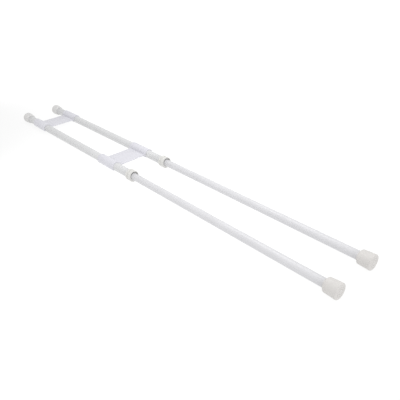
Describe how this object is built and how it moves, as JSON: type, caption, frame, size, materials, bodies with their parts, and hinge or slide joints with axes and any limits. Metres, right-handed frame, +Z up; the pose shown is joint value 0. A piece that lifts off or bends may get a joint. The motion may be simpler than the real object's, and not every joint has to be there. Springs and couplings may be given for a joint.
{
  "type": "double spring loaded tension bar",
  "caption": "Two parallel telescoping spring rods joined by two clip plates, with rubber feet that press between two walls.",
  "frame": {"origin": "middle of the footprint, on the surface that the bar lies on", "axes": "+X along the rods from the outer caps to the inner caps, +Y from the front rod to the back rod, +Z up"},
  "size_m": [0.711, 0.0784, 0.0184],
  "materials": {
    "white_paint": "smooth white gloss paint",
    "rubber": "off-white matt moulded rubber",
    "collar_plastic": "off-white moulded plastic",
    "plate_plastic": "cool white satin moulded plastic",
    "nylon": "natural nylon",
    "spring_steel": "drawn spring wire"
  },
  "bodies": {
    "outer_frame": {"front_outer_tube": "white_paint", "front_outer_cap": "rubber", "front_collar": "collar_plastic", "front_spring_seat": "nylon", "front_spring": "spring_steel", "back_outer_tube": "white_paint", "back_outer_cap": "rubber", "back_collar": "collar_plastic", "back_spring_seat": "nylon", "back_spring": "spring_steel", "end_plate": "plate_plastic", "middle_plate": "plate_plastic"},
    "front_slider": {"front_glide_sleeve": "nylon", "front_spring_cup": "nylon"},
    "front_inner_rod": {"front_inner_tube": "white_paint", "front_inner_cap": "rubber"},
    "back_slider": {"back_glide_sleeve": "nylon", "back_spring_cup": "nylon"},
    "back_inner_rod": {"back_inner_tube": "white_paint", "back_inner_cap": "rubber"}
  },
  "joints": [
    {"name": "front_slide", "type": "slide", "parent": "outer_frame", "child": "front_slider", "axis": [1, 0, 0], "range_m": [-0.305, 0], "stiffness_N_per_m": 140, "springref_m": 0.05, "deforming": ["front_spring"]},
    {"name": "front_swivel", "type": "hinge", "parent": "front_slider", "child": "front_inner_rod", "pos_m": [0.2555, -0.03, 0.0092], "axis": [1, 0, 0], "continuous": true},
    {"name": "back_slide", "type": "slide", "parent": "outer_frame", "child": "back_slider", "axis": [1, 0, 0], "range_m": [-0.305, 0], "stiffness_N_per_m": 140, "springref_m": 0.05, "deforming": ["back_spring"]},
    {"name": "back_swivel", "type": "hinge", "parent": "back_slider", "child": "back_inner_rod", "pos_m": [0.2555, 0.03, 0.0092], "axis": [1, 0, 0], "continuous": true}
  ]
}
